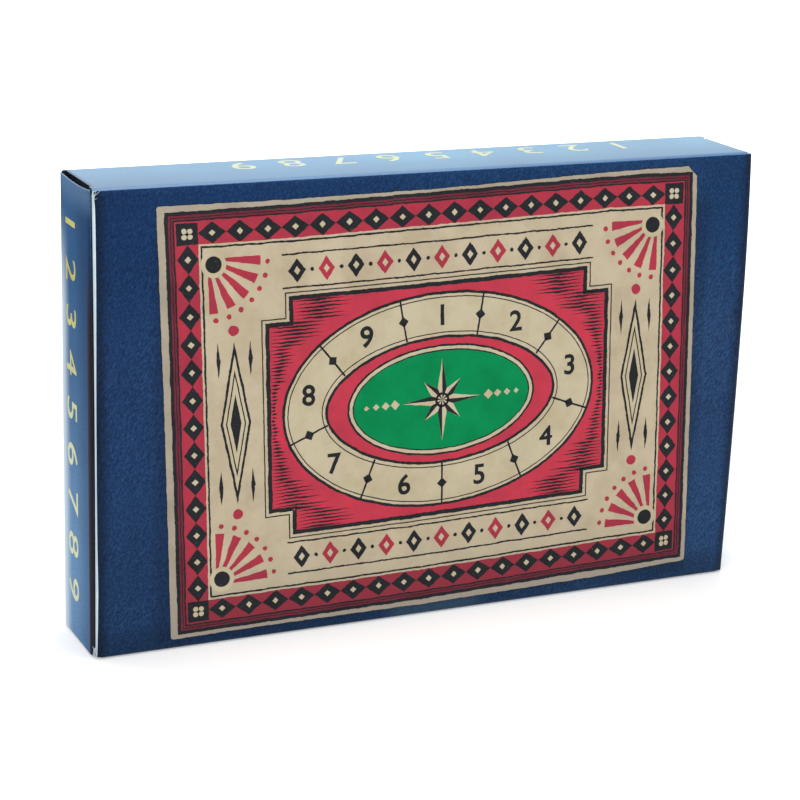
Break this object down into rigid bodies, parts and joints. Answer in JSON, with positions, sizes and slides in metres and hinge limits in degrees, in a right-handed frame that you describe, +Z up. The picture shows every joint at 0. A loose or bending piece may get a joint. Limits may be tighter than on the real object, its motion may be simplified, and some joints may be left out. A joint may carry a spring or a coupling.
{
  "type": "shut the box dice game",
  "caption": "Shut the box dice game in its tuck end carton: a wooden tray with number tiles hinged on a rod, a felt playing field, dice and a folded leaflet.",
  "frame": {"origin": "on the ground under the middle of the carton, which stands on its long edge", "axes": "+X to the right along the carton, +Y from the printed front to the back, +Z up"},
  "size_m": [0.2, 0.03, 0.13],
  "materials": {
    "navy_print": "printed in dark blue with a fine linen grain, thin gloss varnish",
    "blue_print": "printed in mid blue with a fine linen grain, thin gloss varnish",
    "plain_board": "uncoated grey white inside of the board",
    "rail_wood": "sanded pale beech",
    "ply_wood": "thin plywood",
    "tile_wood": "sanded pale beech with eased edges",
    "felt": "green playing felt",
    "rod_steel": "drawn wire",
    "die_wood": "waxed pale wood with dark pips",
    "leaflet_paper": "matt uncoated paper"
  },
  "bodies": {
    "carton": {"front_panel": "navy_print", "back_panel": "navy_print", "top_panel": "blue_print", "bottom_panel": "navy_print", "seam_flap": "plain_board"},
    "left_end": {"left_end_panel": "blue_print"},
    "left_tuck": {"left_tuck_flap": "navy_print"},
    "left_top_dust": {"left_top_dust_flap": "plain_board"},
    "left_bottom_dust": {"left_bottom_dust_flap": "plain_board"},
    "right_end": {"right_end_panel": "blue_print"},
    "right_tuck": {"right_tuck_flap": "navy_print"},
    "right_top_dust": {"right_top_dust_flap": "plain_board"},
    "right_bottom_dust": {"right_bottom_dust_flap": "plain_board"},
    "tray": {"lower_rail": "rail_wood", "upper_rail": "rail_wood", "left_rail": "rail_wood", "right_rail": "rail_wood", "tray_base": "ply_wood", "playing_felt": "felt", "tile_ledge": "rail_wood", "tile_rod": "rod_steel"},
    "tile_1": {"number_tile_1": "tile_wood"},
    "tile_2": {"number_tile_2": "tile_wood"},
    "tile_3": {"number_tile_3": "tile_wood"},
    "tile_4": {"number_tile_4": "tile_wood"},
    "tile_5": {"number_tile_5": "tile_wood"},
    "tile_6": {"number_tile_6": "tile_wood"},
    "tile_7": {"number_tile_7": "tile_wood"},
    "tile_8": {"number_tile_8": "tile_wood"},
    "tile_9": {"number_tile_9": "tile_wood"},
    "left_die": {"left_die": "die_wood"},
    "right_die": {"right_die": "die_wood"},
    "leaflet": {"rules_leaflet": "leaflet_paper"}
  },
  "joints": [
    {"name": "left_end_hinge", "type": "hinge", "parent": "carton", "child": "left_end", "pos_m": [-0.09941, 0.01441, 0.065], "axis": [0, 0, -1], "range_deg": [0, 120]},
    {"name": "left_tuck_crease", "type": "hinge", "parent": "left_end", "child": "left_tuck", "pos_m": [-0.09941, -0.01261, 0.065], "axis": [0, 0, 1], "range_deg": [0, 36]},
    {"name": "left_top_dust_crease", "type": "hinge", "parent": "carton", "child": "left_top_dust", "pos_m": [-0.09711, 0, 0.12941], "axis": [0, 1, 0], "range_deg": [0, 60]},
    {"name": "left_bottom_dust_crease", "type": "hinge", "parent": "carton", "child": "left_bottom_dust", "pos_m": [-0.09711, 0, 0.00059], "axis": [0, -1, 0], "range_deg": [0, 60]},
    {"name": "right_end_hinge", "type": "hinge", "parent": "carton", "child": "right_end", "pos_m": [0.09941, -0.01441, 0.065], "axis": [0, 0, -1], "range_deg": [0, 120]},
    {"name": "right_tuck_crease", "type": "hinge", "parent": "right_end", "child": "right_tuck", "pos_m": [0.09941, 0.01261, 0.065], "axis": [0, 0, 1], "range_deg": [0, 36]},
    {"name": "right_top_dust_crease", "type": "hinge", "parent": "carton", "child": "right_top_dust", "pos_m": [0.09711, 0, 0.12941], "axis": [0, -1, 0], "range_deg": [0, 60]},
    {"name": "right_bottom_dust_crease", "type": "hinge", "parent": "carton", "child": "right_bottom_dust", "pos_m": [0.09711, 0, 0.00059], "axis": [0, 1, 0], "range_deg": [0, 60]},
    {"name": "tray_slide", "type": "slide", "parent": "carton", "child": "tray", "axis": [1, 0, 0], "range_m": [-0.0025, 0.0025]},
    {"name": "tile_1_hinge", "type": "hinge", "parent": "tray", "child": "tile_1", "pos_m": [-0.07644, -0.00115, 0.112], "axis": [-1, 0, 0], "range_deg": [0, 15]},
    {"name": "tile_2_hinge", "type": "hinge", "parent": "tray", "child": "tile_2", "pos_m": [-0.05733, -0.00115, 0.112], "axis": [-1, 0, 0], "range_deg": [0, 15]},
    {"name": "tile_3_hinge", "type": "hinge", "parent": "tray", "child": "tile_3", "pos_m": [-0.03822, -0.00115, 0.112], "axis": [-1, 0, 0], "range_deg": [0, 15]},
    {"name": "tile_4_hinge", "type": "hinge", "parent": "tray", "child": "tile_4", "pos_m": [-0.01911, -0.00115, 0.112], "axis": [-1, 0, 0], "range_deg": [0, 15]},
    {"name": "tile_5_hinge", "type": "hinge", "parent": "tray", "child": "tile_5", "pos_m": [0, -0.00115, 0.112], "axis": [-1, 0, 0], "range_deg": [0, 15]},
    {"name": "tile_6_hinge", "type": "hinge", "parent": "tray", "child": "tile_6", "pos_m": [0.01911, -0.00115, 0.112], "axis": [-1, 0, 0], "range_deg": [0, 15]},
    {"name": "tile_7_hinge", "type": "hinge", "parent": "tray", "child": "tile_7", "pos_m": [0.03822, -0.00115, 0.112], "axis": [-1, 0, 0], "range_deg": [0, 15]},
    {"name": "tile_8_hinge", "type": "hinge", "parent": "tray", "child": "tile_8", "pos_m": [0.05733, -0.00115, 0.112], "axis": [-1, 0, 0], "range_deg": [0, 15]},
    {"name": "tile_9_hinge", "type": "hinge", "parent": "tray", "child": "tile_9", "pos_m": [0.07644, -0.00115, 0.112], "axis": [-1, 0, 0], "range_deg": [0, 15]},
    {"name": "left_die_slide", "type": "slide", "parent": "tray", "child": "left_die", "axis": [1, 0, 0], "range_m": [-0.058, 0.01]},
    {"name": "right_die_slide", "type": "slide", "parent": "tray", "child": "right_die", "axis": [1, 0, 0], "range_m": [-0.011, 0.062]},
    {"name": "leaflet_slide", "type": "slide", "parent": "carton", "child": "leaflet", "axis": [1, 0, 0], "range_m": [-0.01, 0.01]}
  ],
  "couplings": [
    {"joint": "left_tuck_crease", "follows": "left_end_hinge", "ratio": 0.3},
    {"joint": "left_top_dust_crease", "follows": "left_end_hinge", "ratio": 0.5},
    {"joint": "left_bottom_dust_crease", "follows": "left_end_hinge", "ratio": 0.5},
    {"joint": "right_tuck_crease", "follows": "right_end_hinge", "ratio": 0.3},
    {"joint": "right_top_dust_crease", "follows": "right_end_hinge", "ratio": 0.5},
    {"joint": "right_bottom_dust_crease", "follows": "right_end_hinge", "ratio": 0.5}
  ]
}
